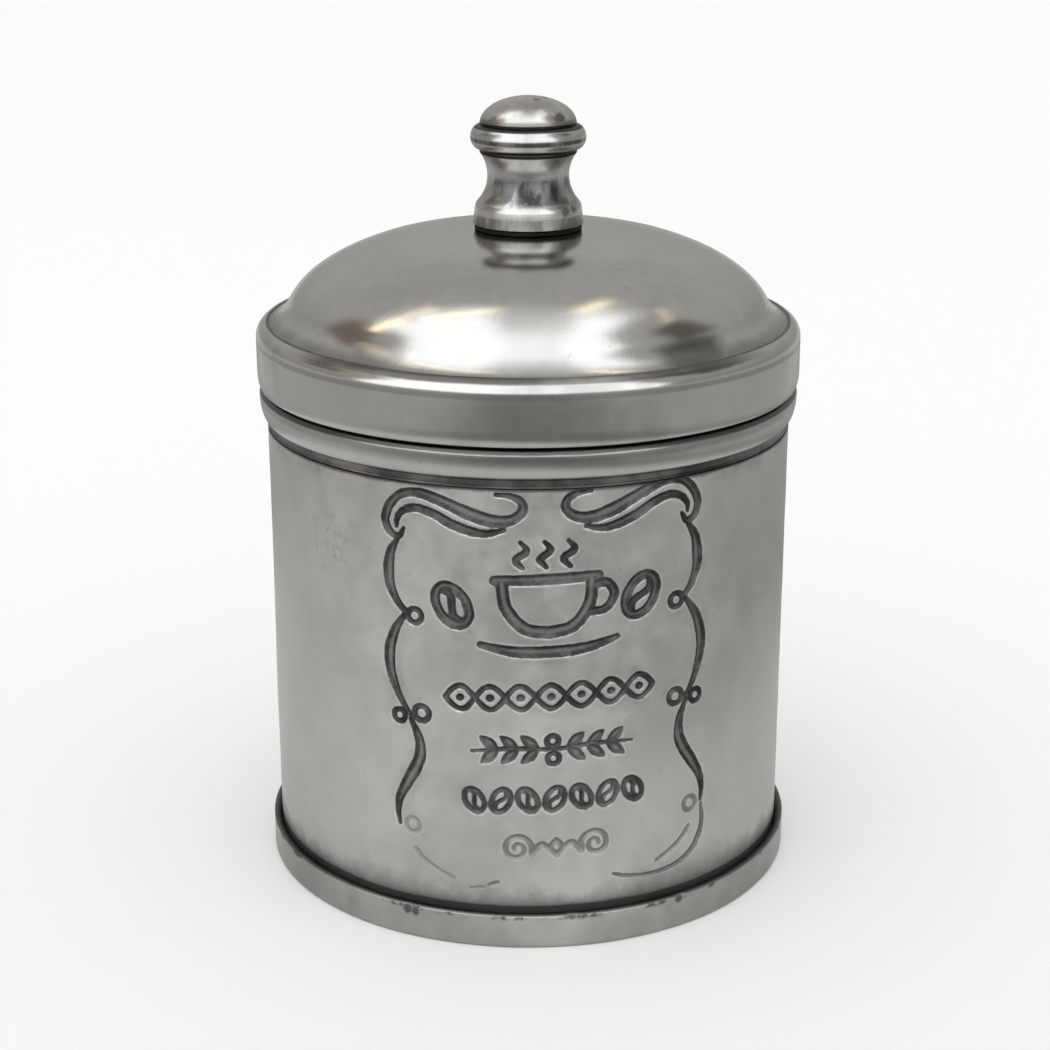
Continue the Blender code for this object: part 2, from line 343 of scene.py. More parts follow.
def creeping(f, low, high, reach, scale):
    """Patina between two heights that creeps out over the wall by up to reach, in patches."""
    patches = f.ramp(f.noise(scale, 5.0, 0.7, stretch=(1.0, 1.0, 0.7), seat=(4.0, 0.0, 2.0)), 0.3, 0.72)
    span = f.math("ADD", f.product(patches, reach), 0.25 * reach)
    above = f.math("SUBTRACT", f.height(), high)
    below = f.math("SUBTRACT", low, f.height())
    away = f.math("MAXIMUM", f.most(above, below), 0.0)
    share = f.math("SUBTRACT", 1.0, f.math("MINIMUM", f.math("DIVIDE", away, span), 1.0))
    return f.math("POWER", share, 1.6)


# ---------------------------------------------------------------- engraving, in millimetres

# The panel's middle lies a little right of the front and half-way up the wall, and it leans a little.
# A cut reaches its full depth CUT_SLOPE inside its edge.
PANEL_TURN = 4.1
PANEL_HEIGHT = 48.0
PANEL_TILT = math.radians(2.1)
CUT_DEPTH = 0.42
CUT_SLOPE = 0.42
FAR_FROM_CUT = 3.0


def smooth_line(points, spacing=0.14):
    """Samples along a Catmull-Rom curve through points of any width."""
    points = np.array(points, float)
    ends = [2 * points[0] - points[1], *points, 2 * points[-1] - points[-2]]
    samples = []
    for a, b, c, d in zip(ends[:-3], ends[1:-2], ends[2:-1], ends[3:]):
        count = max(2, int(np.linalg.norm((c - b)[:2]) / spacing))
        t = np.linspace(0.0, 1.0, count, endpoint=False)[:, None]
        second, third = 2 * a - 5 * b + 4 * c - d, 3 * b - a - 3 * c + d
        samples.append(0.5 * (2 * b + (c - a) * t + second * t**2 + third * t**3))
    samples.append(points[-1:])
    return np.concatenate(samples)


def ring(x, y, radius, half_width, stretch=1.0, lean=0.0):
    """A closed oval line. stretch is its height over its width."""
    angles = np.linspace(0.0, math.tau, 17)
    along, across = radius * np.cos(angles), radius * stretch * np.sin(angles)
    turn = math.radians(lean)
    xs = x + along * math.cos(turn) - across * math.sin(turn)
    ys = y + along * math.sin(turn) + across * math.cos(turn)
    return [(a, b, half_width) for a, b in zip(xs, ys)]


def other_side(points):
    return [(-p[0], *p[1:]) for p in points]


def both(points):
    return [points, other_side(points)]


# Half of the scroll frame. Each point is x, y and half the line's width.
OUTER_SCROLL = [
    (8.3, 38.4, 0.35), (5.8, 38.1, 0.55), (4.0, 37.1, 0.75), (3.8, 35.4, 0.85), (5.6, 33.9, 0.95),
    (8.6, 33.6, 1.1), (12.0, 34.5, 1.2), (15.4, 35.9, 1.1), (19.0, 37.4, 1.0), (22.6, 38.3, 0.85),
    (25.8, 37.7, 0.8), (28.1, 35.6, 0.85), (29.2, 32.9, 0.85), (28.4, 30.7, 0.75), (26.6, 30.0, 0.6),
    (25.5, 31.6, 0.35),
]
INNER_SCROLL = [
    (7.2, 32.0, 0.4), (10.0, 31.4, 0.65), (13.0, 31.8, 0.85), (16.4, 33.0, 0.9), (19.8, 34.7, 0.85),
    (23.0, 35.5, 0.75), (25.4, 34.8, 0.65), (26.8, 33.2, 0.55), (26.9, 31.8, 0.35),
]
SIDE_TOP = [
    (27.0, 29.3, 0.45), (28.4, 27.0, 0.85), (29.0, 24.0, 1.1), (28.9, 21.0, 1.0), (27.9, 18.4, 0.8),
    (26.4, 16.5, 0.6), (25.5, 15.9, 0.45),
]
SIDE_MIDDLE = [
    (26.2, 15.5, 0.45), (28.3, 12.4, 0.85), (29.6, 8.7, 1.1), (29.7, 4.9, 1.0), (28.7, 1.2, 0.8),
    (27.4, -1.5, 0.6), (26.1, -3.4, 0.5),
]
SIDE_LOW = [
    (26.1, -4.3, 0.45), (24.8, -7.2, 0.8), (24.4, -10.4, 1.05), (25.4, -13.4, 1.15), (27.3, -16.6, 1.1),
    (29.1, -19.8, 0.85), (29.7, -22.6, 0.6), (29.5, -25.3, 0.35),
]
LOW_CORNER = [
    (29.6, -26.2, 0.4), (29.8, -29.8, 0.55), (28.4, -33.4, 0.65), (25.6, -35.9, 0.55), (21.3, -37.0, 0.45),
    (16.6, -37.0, 0.4), (12.9, -36.3, 0.35), (10.4, -35.4, 0.25),
]
LOW_INNER = [(26.5, -29.7, 0.4), (24.8, -31.7, 0.5), (22.2, -33.4, 0.45), (19.2, -34.7, 0.3)]
RING_TOP = ring(24.2, 15.5, 1.3, 0.52)
RING_IN = ring(23.8, -3.0, 1.4, 0.55)
RING_OUT = ring(28.3, -3.9, 1.15, 0.5)
RING_LOW = ring(26.8, -25.2, 1.35, 0.45)


def bean(x, y, size, lean, half_width):
    """A coffee bean: an oval with an S-shaped crease."""
    turn = math.radians(lean)
    crease = []
    for along, across in [(-0.95, 0.0), (-0.4, 0.2), (0.4, -0.2), (0.95, 0.0)]:
        crease.append((
            x + size * (along * math.cos(turn) - across * math.sin(turn)),
            y + size * (along * math.sin(turn) + across * math.cos(turn)),
            half_width * 0.8,
        ))
    return [ring(x, y, size, half_width, 0.68, lean), crease]


def leaf(x, y, length, lean):
    """A solid leaf, drawn as one line that swells and thins."""
    turn = math.radians(lean)
    widths = (0.2, 0.75, 1.0, 0.7, 0.15)
    return [
        (x + length * i / 4 * math.cos(turn), y + length * i / 4 * math.sin(turn), w)
        for i, w in enumerate(widths)
    ]


def cup():
    """A cup on its saucer with three curls of steam."""
    bowl = [(-8.0, 22.2, 1.05), (-7.3, 17.6, 1.1), (-4.3, 13.9, 1.15), (0.0, 12.9, 1.15)]
    handle = [(7.8, 20.9, 0.8), (10.6, 21.3, 0.85), (11.9, 19.1, 0.85), (10.4, 16.6, 0.8), (7.3, 16.2, 0.75)]
    lines = both(bowl) + [handle]
    rim = [(-9.1, 22.8, 0.95), (0.0, 22.8, 1.0), (9.1, 22.8, 0.95)]
    lines.append(rim)
    saucer = [(-12.2, 10.9, 0.6), (-6.4, 9.6, 1.0), (0.0, 9.3, 1.1), (6.4, 9.6, 1.0), (12.2, 10.9, 0.6)]
    lines.append(saucer)
    for x in (-4.2, 0.0, 4.2):
        curl = [(x, 25.0, 0.4), (x - 1.1, 26.5, 0.65), (x + 0.8, 28.1, 0.65), (x - 0.2, 29.7, 0.35)]
        lines.append(curl)
    return lines


def braid(y, half_length, swing, period, half_width):
    """Two crossing waves with a dot in each eye."""
    count = int(round(2 * half_length / period))
    xs = np.linspace(-half_length, half_length, count * 8 + 1)
    phase = (xs + half_length) / period * math.pi
    lines = []
    for side in (-1, 1):
        lines.append([(x, y + side * swing * math.sin(p), half_width) for x, p in zip(xs, phase)])
    for eye in range(count):
        x = -half_length + (eye + 0.5) * period
        lines.append([(x - 0.05, y, 0.7), (x + 0.05, y, 0.7)])
    return lines


def sprig(y, half_length, leaves):
    """A level stem with pairs of leaves that point away from the middle, and berries."""
    stem = [(0.0, y, 0.4), (half_length * 0.5, y + 0.5, 0.45), (half_length, y, 0.25)]
    lines = both(stem)
    for i in range(leaves):
        x = 2.6 + i * (half_length - 3.6) / leaves
        for lean in (40.0, -40.0):
            lines += both(leaf(x, y + 0.3, 4.0, lean))
    lines.append(ring(0.0, y + 1.7, 1.05, 0.5))
    lines.append(ring(0.0, y - 1.7, 1.05, 0.5))
    return lines


def bean_row(y, half_length, count):
    lines = []
    for i in range(count):
        x = -half_length + 2 * half_length * i / (count - 1)
        lines += bean(x, y, 2.35, 62.0 if i % 2 else 118.0, 0.52)
    return lines


def flourish(y):
    """Two spirals that meet at a lozenge."""
    spiral = []
    for i in range(15):
        turn = math.radians(200.0 - i * 40.0)
        reach = 2.9 * (1.0 - i / 17.0)
        spiral.append((7.2 + reach * math.cos(turn), y + reach * math.sin(turn), 0.56 - 0.015 * i))
    link = [(1.2, y - 0.2, 0.45), (2.8, y + 0.8, 0.55), spiral[0]]
    lozenge = [(0.0, y + 1.5, 0.5), (1.1, y, 0.5), (0.0, y - 1.5, 0.5)]
    return both(spiral) + both(link) + both(lozenge)


def engraved_lines():
    """Every line of the engraving, as (points, how deep and dark it is from 0 to 1)."""
    right, left = [], []
    for line in (OUTER_SCROLL, INNER_SCROLL, SIDE_TOP, SIDE_MIDDLE, SIDE_LOW, RING_TOP, RING_IN, RING_OUT):
        right.append((line, 1.0))
        left.append((other_side(line), 1.0))
    right += [(RING_LOW, 0.6), (LOW_CORNER, 0.75), (LOW_INNER, 0.6)]
    left += [(other_side(RING_LOW), 0.4), (other_side(LOW_INNER), 0.35)]
    left.append(([(-16.0, -36.4, 0.2), (-13.6, -36.2, 0.28)], 0.5))
    left.append(([(-12.6, -35.8, 0.3), (-10.9, -35.2, 0.36)], 0.7))
    middle = [(line, 1.0) for line in cup()]
    for side in (-1.0, 1.0):
        middle += [(line, 1.0) for line in bean(side * 17.0, 18.0, 3.9, side * 58.0, 0.9)]
    middle += [(line, 1.0) for line in braid(0.8, 19.0, 2.2, 5.43, 0.52)]
    middle += [(line, 0.95) for line in sprig(-9.4, 14.6, 3)]
    middle += [(line, 0.95) for line in bean_row(-19.0, 14.6, 7)]
    middle += [(line, 0.6) for line in flourish(-28.6)]
    return right + left + middle


PAIRS_AT_ONCE = 4_000_000


def engraving_at(arc_mm, height_mm):
    """Distance to the nearest line's edge, below 0 inside it, and that line's strength."""
    away, up = arc_mm - PANEL_TURN, height_mm - PANEL_HEIGHT
    x = away * math.cos(PANEL_TILT) + up * math.sin(PANEL_TILT)
    y = -away * math.sin(PANEL_TILT) + up * math.cos(PANEL_TILT)
    edge = np.full(len(x), FAR_FROM_CUT)
    strength = np.zeros(len(x))
    for points, depth in engraved_lines():
        line = smooth_line(points)
        reach = FAR_FROM_CUT + line[:, 2].max()
        near = np.flatnonzero(
            (x > line[:, 0].min() - reach) & (x < line[:, 0].max() + reach)
            & (y > line[:, 1].min() - reach) & (y < line[:, 1].max() + reach)
        )
        for part in np.array_split(near, max(1, len(near) * len(line) // PAIRS_AT_ONCE)):
            gap = np.hypot(x[part, None] - line[None, :, 0], y[part, None] - line[None, :, 1])
            gap = (gap - line[None, :, 2]).min(axis=1)
            closer = gap < edge[part]
            edge[part[closer]] = gap[closer]
            strength[part[closer]] = depth
    return edge, strength


# ---------------------------------------------------------------- canister

def wall_columns():
    """Arc positions round the wall in millimetres: close together on the panel, wide elsewhere."""
    full = math.tau * WALL_RADIUS / MM
    low, high, fine, wide = -32.0, 40.5, 0.285, 3.4
    panel = np.arange(low, high, fine)
    rest = np.linspace(high, low + full, int((full - (high - low)) / wide), endpoint=False)
    return np.concatenate([panel, rest])


def engraved_wall():
    """The wall: outer face with the engraving cut into it and a faint seam at the back, rims,
    and a plain inner face."""
    radius = WALL_RADIUS / MM
    arcs = wall_columns()
    plain_top, plain_rows, fine_rows = 9.5, 8, 268
    heights = np.concatenate([
        np.linspace(WALL_BOTTOM / MM, plain_top, plain_rows, endpoint=False),
        np.linspace(plain_top, WALL_TOP / MM, fine_rows),
    ])
    columns, rows = len(arcs), len(heights)
    u = np.tile(arcs, rows)
    v = np.repeat(heights, columns)
    edge, strength = engraving_at(u, v)
    inside = np.clip(-edge / CUT_SLOPE, 0.0, 1.0)
    depth = CUT_DEPTH * strength * inside * inside * (3.0 - 2.0 * inside)
    depth *= np.clip((WALL_TOP / MM - v) / 0.5, 0.0, 1.0)
    angle = u / radius
    outward = np.stack([np.sin(angle), -np.cos(angle)], 1)
    flat = np.column_stack([outward * radius, v])
    swell = 0.035 * soft_noise(flat, 26.0, 3) + 0.018 * soft_noise(flat, 9.0, 4)
    seam_depth, seam_width = 0.1, 1.6
    seam = seam_depth * np.exp(-((np.abs(angle - math.pi) * radius / seam_width) ** 2))
    outer = np.column_stack([outward * (radius - depth + swell - seam)[:, None], v])
    inner_rows = np.array([heights[-1], heights[0]])
    plain = np.stack([np.sin(arcs / radius), -np.cos(arcs / radius)], 1) * (radius - SHEET / MM)
    inner = np.concatenate([np.column_stack([plain, np.full(columns, z)]) for z in inner_rows])
    points = np.concatenate([outer, inner]) * MM
    index = np.arange(columns)
    after = np.roll(index, -1)
    faces = []
    order = list(range(rows + 2))
    for row, above in zip(order, order[1:] + order[:1]):
        low, high = row * columns, above * columns
        faces.append(np.stack([low + index, low + after, high + after, high + index], 1))
    wall = mesh_object("engraved_wall", points, np.concatenate(faces).tolist(), 60.0)
    for name, values, rest in (("cut_edge", edge, FAR_FROM_CUT), ("cut_strength", strength, 0.0)):
        layer = wall.data.attributes.new(name, "FLOAT", "POINT")
        whole = np.concatenate([values, np.full(2 * columns, rest)])
        layer.data.foreach_set("value", whole.astype(np.float32))
    return wall


def wall_dirt(f):
    """Black in the engraving, darkest along its edges, and in the corners at top and bottom."""
    shake = f.product(f.math("SUBTRACT", f.noise(620.0, 4.0, 0.65), 0.5), 0.5)
    edge = f.math("ADD", f.attribute("cut_edge"), shake)
    strength = f.attribute("cut_strength")
    worn = f.ramp(f.noise(230.0, 4.0, 0.65, seat=(2.0, 8.0, 5.0)), 0.36, 0.6, 0.86, 1.0)
    inside = f.ramp(edge, -0.04, 0.17, 1.0, 0.0)
    middle = f.ramp(edge, -1.05, -0.45, 0.66, 1.0)
    lines = f.product(inside, middle, strength, worn)
    smears = f.ramp(f.noise(75.0, 4.0, 0.7, stretch=(1.0, 1.0, 0.6), seat=(1.0, 2.0, 6.0)), 0.48, 0.72)
    halo = f.product(f.ramp(edge, 0.1, 2.4, 0.55, 0.0), strength, smears, 0.5)
    foot = f.product(creeping(f, 0.0, FOOT_TOP + 1.1 * MM, 1.9 * MM, 130.0), 0.98)
    creep = f.product(creeping(f, 0.0, FOOT_TOP + 1.2 * MM, 7.0 * MM, 55.0), 0.75)
    neck = f.product(creeping(f, WALL_TOP - 0.2 * MM, 1.0, 0.8 * MM, 140.0), 0.85)
    neck_creep = f.product(band(f, WALL_TOP - 0.6 * MM, 1.0, 3.0 * MM), smears, 0.4)
    dark = f.most(lines, halo, foot, creep, neck, neck_creep, scratches(f))
    return f.product(dark, outer_face(f, WALL_RADIUS), 0.94)


def scratches(f):
    """A patch of short scuffs high on the left of the front."""
    patch = f.spot(-46.0, WALL_RADIUS, 72.0 * MM, 8.0 * MM, 0.8)
    scuffs = f.ramp(f.noise(420.0, 4.0, 0.7, stretch=(1.0, 1.0, 0.8), seat=(7.0, 1.0, 3.0)), 0.53, 0.62)
    return f.product(patch, scuffs, 0.2)


def wall_lip_highlight(f):
    """Share of painted highlight: a brighter rim here and there along the lip of a cut."""
    edge = f.attribute("cut_edge")
    # Painted highlight patches along the lips of the cuts.
    highlight_patches = f.ramp(f.noise(110.0, 3.0, 0.6, seat=(6.0, 3.0, 1.0)), 0.42, 0.66, 0.05, 0.5)
    return f.product(f.between(edge, 0.2, 0.3, 0.1, 0.3), f.attribute("cut_strength"), highlight_patches)


# Azimuth, height, size and depth of knocks on the foot's upper edge, in degrees and millimetres.
FOOT_KNOCKS = [
    (-25.6, 5.4, 1.8, 0.35), (-23.8, 5.2, 1.5, 0.3), (9.0, 6.4, 2.0, 0.35), (33.0, 5.7, 1.6, 0.4),
    (-70.0, 6.2, 1.2, 0.25), (118.0, 6.0, 1.7, 0.35), (-160.0, 5.6, 1.5, 0.35),
]


def foot_band():
    """Moulded foot, with a few knocks on its upper edge."""
    edge = 0.45 * MM
    lip, lip_top = 45.5 * MM, 1.2 * MM
    wall_side = WALL_RADIUS + 0.3 * MM
    outline = [(lip, 0.15 * MM), (lip + 0.15 * MM, 0.0)]
    outline += arc(FOOT_RADIUS - edge, edge, edge, edge, -90.0, 0.0, 6)
    outline += [(FOOT_RADIUS - 0.02 * MM, 2.2 * MM), (FOOT_RADIUS - 0.02 * MM, 4.0 * MM)]
    outline += arc(FOOT_RADIUS - edge, FOOT_TOP - edge, edge, edge, 0.0, 90.0, 8)
    outline += [(wall_side + 0.4 * MM, FOOT_TOP - 0.05 * MM), (wall_side, FOOT_TOP - 0.3 * MM)]
    outline += [(wall_side, lip_top), (lip, lip_top)]
    band_piece = turned("foot_band", outline, 512, 0.03 * MM, 22.0 * MM, 11)
    for azimuth, height, size, depth in FOOT_KNOCKS:
        dent(band_piece, azimuth, FOOT_RADIUS, height * MM, size * MM, depth * MM)
    return band_piece


def foot_patina_and_shade(f):
    """Black in the knocks and along the inner edge, and painted shade: a cloudy darkening away from the
    front.
    """
    marks = 0.0
    for azimuth, height, size, _ in FOOT_KNOCKS:
        marks = f.most(marks, f.spot(azimuth, FOOT_RADIUS, height * MM, 0.75 * size * MM, 0.3))
    edge = f.product(band(f, FOOT_TOP - 0.12 * MM, 1.0, 0.3 * MM), 0.75)
    ragged = f.ramp(f.noise(190.0, 4.0, 0.7, seat=(1.0, 7.0, 0.0)), 0.5, 0.62)
    spill = f.product(band(f, FOOT_TOP - 0.5 * MM, 1.0, 0.8 * MM), ragged, 0.8)
    # Painted shade: the foot darker away from the front, in clouds.
    sides = f.ramp(facing(f, 45.0, 20.0), 0.0, 1.0, 1.0, 0.2)
    clouds = f.ramp(f.noise(50.0, 4.0, 0.6, seat=(2.0, 0.0, 5.0)), 0.3, 0.6, 0.1, 0.3)
    return f.most(f.product(marks, 0.75), edge, spill, f.product(sides, clouds))


def dent(piece, azimuth, radius, height, size, depth):
    """Push the points near a spot on a turned piece towards the axis."""
    angle = math.radians(azimuth)
    spot = np.array([radius * math.sin(angle), -radius * math.cos(angle), height])
    count = len(piece.data.vertices)
    points = np.zeros(count * 3)
    piece.data.vertices.foreach_get("co", points)
    points = points.reshape(-1, 3)
    share = np.exp(-((np.linalg.norm(points - spot, axis=1) / (0.6 * size)) ** 2))
    inward = np.array([-math.sin(angle), math.cos(angle), 0.0])
    points += share[:, None] * inward * depth
    piece.data.vertices.foreach_set("co", points.ravel())
    piece.data.update()


def base_plate():
    """Pressed bottom with a shallow raised ring and a turned-up rim."""
    thickness = 0.8 * MM
    underside = bottom_of("base_disc")
    rim_top = top_of("base_disc")
    outer = radius_of("base_disc")
    swage = [(30.0 * MM, 0.0), (31.0 * MM, 0.3 * MM), (40.0 * MM, 0.3 * MM), (41.0 * MM, 0.0)]
    curl = thickness / 2
    outline = [(0.0, underside)] + [(r, underside + rise) for r, rise in swage]
    outline += arc(outer - thickness, underside + thickness, thickness, thickness, -90.0, 0.0, 6)
    outline += arc(outer - curl, rim_top - curl, curl, curl, 0.0, 180.0, 8)
    outline += [(outer - thickness, underside + thickness + 0.4 * MM)]
    outline += [(outer - thickness - 0.4 * MM, underside + thickness)]
    outline += [(r, underside + thickness + rise) for r, rise in reversed(swage)]
    outline += [(0.0, underside + thickness)]
    return turned("base_plate", outline, 192, 0.02 * MM, 25.0 * MM, 12)


# Heights of the bead on the collar.
BEAD_BOTTOM = 88.8 * MM
BEAD_MIDDLE = 93.2 * MM
BEAD_TOP = 94.4 * MM


def collar():
    """Sleeve, groove, bead and neck in one spun ring."""
    bottom = WALL_TOP + 0.3 * MM
    groove = WALL_RADIUS - 0.35 * MM
    proud = radius_of("neck_collar") - WALL_RADIUS
    sleeve_outer = WALL_RADIUS - SHEET - 0.3 * MM
    sleeve_inner = sleeve_outer - 0.8 * MM
    neck = 50.1 * MM
    neck_inner = neck - 0.9 * MM
    curl = 0.45 * MM
    outline = [(WALL_RADIUS, bottom), (groove, bottom + 0.35 * MM), (groove, BEAD_BOTTOM - 0.25 * MM)]
    outline += arc(WALL_RADIUS, BEAD_MIDDLE, proud, BEAD_MIDDLE - BEAD_BOTTOM, -88.0, 0.0, 18)
    outline += arc(WALL_RADIUS, BEAD_MIDDLE, proud, BEAD_TOP - BEAD_MIDDLE, 12.0, 80.0, 6)
    outline += [(neck + 0.15 * MM, BEAD_TOP), (neck, BEAD_TOP + 0.15 * MM), (neck, 97.5 * MM)]
    outline += arc(neck - curl, NECK_TOP - curl, curl, curl, 0.0, 180.0, 10)
    outline += [(neck_inner, BEAD_MIDDLE), (sleeve_inner, BEAD_MIDDLE - 3.0 * MM)]
    outline += [(sleeve_inner, COLLAR_BOTTOM + 0.2 * MM), (sleeve_inner + 0.2 * MM, COLLAR_BOTTOM)]
    outline += [(sleeve_outer, COLLAR_BOTTOM), (sleeve_outer, bottom)]
    return turned("spun_collar", outline, 256, 0.02 * MM, 24.0 * MM, 13)


def collar_patina_and_shade(f):
    """Black in the groove below the bead, painted shade in the corner above it under the lid's hem, and a
    thin painted dark reflection of the skirt's underside on the bead's top."""
    uneven = f.ramp(f.noise(45.0, 4.0, 0.65, seat=(2.0, 2.0, 0.0)), 0.35, 0.62, 0.5, 0.9)
    groove = f.product(band(f, 0.0, BEAD_BOTTOM + 0.1 * MM, 0.6 * MM), uneven)
    # Painted shade under the lid's hem, in the corner above the bead.
    corner = f.product(band(f, BEAD_MIDDLE + 0.5 * MM, BEAD_TOP + 0.8 * MM, 0.55 * MM), 0.85)
    # Painted dark reflection of the skirt's underside on the bead's upper half.
    bead_top_reflection = f.product(band(f, BEAD_MIDDLE - 0.5 * MM, BEAD_TOP + 0.8 * MM, 1.0 * MM), uneven, 0.45)
    return f.product(f.most(groove, corner, bead_top_reflection), outer_face(f, WALL_RADIUS))


# ---------------------------------------------------------------- lid

# The dome is a flattened oval with a lower crown. From FLARE_START it turns outwards with the
# radius FLARE_ROUND, to its edge beside the shoulder.
DOME_RADIUS = 46.9 * MM
DOME_BASE = 103.3 * MM
DOME_RISE = 21.875 * MM
DOME_SHELL = 0.8 * MM
CROWN_RADIUS = 30.0 * MM
CROWN_DROP = 1.65 * MM
FLARE_START = 45.3 * MM
FLARE_ROUND = 9.55 * MM
FLARE_EDGE = 49.3 * MM
FLARE_EDGE_HEIGHT = 106.55 * MM
OVAL_ACROSS = 1.92
OVAL_UP = 2.44


def dome_height(radius, inset):
    """Height of the dome's outer face, or of a face that lies inset below it."""
    reach, rise = DOME_RADIUS - inset, DOME_RISE - inset
    share = max(0.0, 1.0 - (radius / reach) ** OVAL_ACROSS)
    height = DOME_BASE + rise * share ** (1.0 / OVAL_UP)
    if radius < CROWN_RADIUS:
        height -= CROWN_DROP * (1.0 - (radius / CROWN_RADIUS) ** 2) ** 2
    return min(height, SEAT_HEIGHT - inset)


def dome_curve(inset, first, steps, flare_edge, flare_steps):
    """Dome points from the first radius outwards to where the flare reaches flare_edge."""
    step = 0.01 * MM
    drop = dome_height(FLARE_START - step, 0.0) - dome_height(FLARE_START + step, 0.0)
    slope = math.atan2(drop, 2 * step)
    start_r = FLARE_START - inset * math.sin(slope)
    start_z = dome_height(FLARE_START, 0.0) - inset * math.cos(slope)
    reach = DOME_RADIUS - inset
    radii = reach * np.sin(np.linspace(math.asin(first / reach), math.asin(start_r / reach), steps + 1))
    points = [(r, dome_height(r, inset)) for r in radii[:-1]]
    bend = FLARE_ROUND + inset
    centre_r = start_r + bend * math.sin(slope)
    centre_z = start_z + bend * math.cos(slope)
    end = math.asin((centre_r - flare_edge) / bend)
    for angle in np.linspace(slope, end, flare_steps + 1):
        points.append((centre_r - bend * math.sin(angle), centre_z - bend * math.cos(angle)))
    return points


def dome():
    """Thin spun shell with a flat seat and a hole for the screw under the knob."""
    hole, seat_radius, inner_edge = 2.3 * MM, 9.8 * MM, 48.2 * MM
    edge_bottom = bottom_of("lid_dome")
    solder = FLARE_EDGE + 0.28 * MM
    outer = [(hole, SEAT_HEIGHT)] + dome_curve(0.0, seat_radius, 60, FLARE_EDGE, 24)
    edge_top = outer[-1][1]
    outer += [(solder, edge_top - 0.05 * MM), (solder, edge_bottom)]
    inner = [(hole, SEAT_HEIGHT - DOME_SHELL)] + dome_curve(DOME_SHELL, seat_radius, 40, inner_edge, 10)
    inner += [(inner_edge, edge_bottom)]
    return turned("spun_dome", (outer + inner[::-1])[::-1], 288, 0.035 * MM, 20.0 * MM, 21)


def dome_patina_and_reflections(f):
    """Patina in the corner where the dome meets the shoulder, fainter towards the middle of the front,
    and painted dark reflections of furniture in two patches of the flare."""
    uneven = f.ramp(f.noise(28.0, 4.0, 0.6, seat=(5.0, 2.0, 0.0)), 0.38, 0.62, 0.55, 1.0)
    sides = f.ramp(facing(f, 34.0, 18.0), 0.0, 1.0, 1.0, 0.2)
    corner = f.product(band(f, 0.0, FLARE_EDGE_HEIGHT, 0.5 * MM), sides, 0.85)
    smear = f.product(band(f, 0.0, FLARE_EDGE_HEIGHT + 0.25 * MM, 1.9 * MM), uneven, sides, 0.55)
    flare_radius, flare_height = 47.3 * MM, FLARE_EDGE_HEIGHT + 1.25 * MM
    # Painted dark reflections: two patches on the flare, right and left of the front.
    right = f.product(f.spot(37.0, flare_radius, flare_height, 10.0 * MM, 0.25), 0.7)
    left = f.product(f.spot(-34.0, flare_radius, flare_height, 7.5 * MM, 0.3), 0.45)
    flare = band(f, FLARE_EDGE_HEIGHT - 0.55 * MM, FLARE_EDGE_HEIGHT + 2.45 * MM, 1.6 * MM)
    return f.most(corner, smear, f.product(f.most(right, left), flare))


SHOULDER_START = 104.0 * MM


def skirt():
    """Band with a hemmed lower edge, a rolled shoulder and the ledge that carries the dome."""
    shell = 0.75 * MM
    roll_in, roll_height = 0.7 * MM, 3.0 * MM
    shoulder = 3.0 * MM
    centre = SKIRT_RADIUS - shoulder
    hem_inner, hem_top = 50.45 * MM, 98.5 * MM
    inner = SKIRT_RADIUS - shell
    step, ledge_inner = FLARE_EDGE + 0.3 * MM, 45.6 * MM
    ledge_top, ledge_bottom = 105.0 * MM, 104.2 * MM
    outline = [(hem_inner, SKIRT_BOTTOM + 0.2 * MM), (hem_inner + 0.25 * MM, SKIRT_BOTTOM)]
    outline += arc(SKIRT_RADIUS - roll_in, SKIRT_BOTTOM + roll_height, roll_in, roll_height, -90.0, 0.0, 14)
    outline += [(SKIRT_RADIUS, 99.5 * MM), (SKIRT_RADIUS, 101.8 * MM)]
    outline += arc(centre, SHOULDER_START, shoulder, shoulder, 0.0, 66.0, 18)
    outline += [(step + 0.12 * MM, SHOULDER_START + 2.7 * MM), (step, SHOULDER_START + 2.5 * MM)]
    outline += [(step, ledge_top), (ledge_inner, ledge_top), (ledge_inner, ledge_bottom)]
    outline += [(centre + 1.6 * MM, ledge_bottom), (inner, SHOULDER_START - 0.4 * MM)]
    outline += [(inner, hem_top + 0.5 * MM), (hem_inner + 0.05 * MM, hem_top)]
    outline += [(hem_inner, hem_top - 0.4 * MM)]
    return turned("spun_skirt", outline, 256, 0.025 * MM, 18.0 * MM, 22)


def skirt_shade_and_stains(f):
    """Painted shade on the front of the shoulder's inner side, which trims the roll's highlight, a faint
    dark line under the roll, and faint stains all over."""
    uneven = f.ramp(f.noise(40.0, 4.0, 0.65, seat=(8.0, 2.0, 0.0)), 0.36, 0.64, 0.6, 0.82)
    front = f.ramp(facing(f, 62.0, 36.0), 0.0, 1.0, 0.12, 1.0)
    # Painted shade on the shoulder above the roll, strongest at the front.
    top = f.product(band(f, SHOULDER_START + 1.95 * MM, 1.0, 0.45 * MM), uneven, front)
    line = f.product(band(f, SHOULDER_START - 0.7 * MM, SHOULDER_START - 0.1 * MM, 0.35 * MM), 0.34)
    stains = f.noise(55.0, 4.0, 0.6, stretch=(1.0, 1.0, 0.5), seat=(3.0, 6.0, 0.0))
    return f.most(top, line, f.ramp(stains, 0.5, 0.7, 0.0, 0.22))


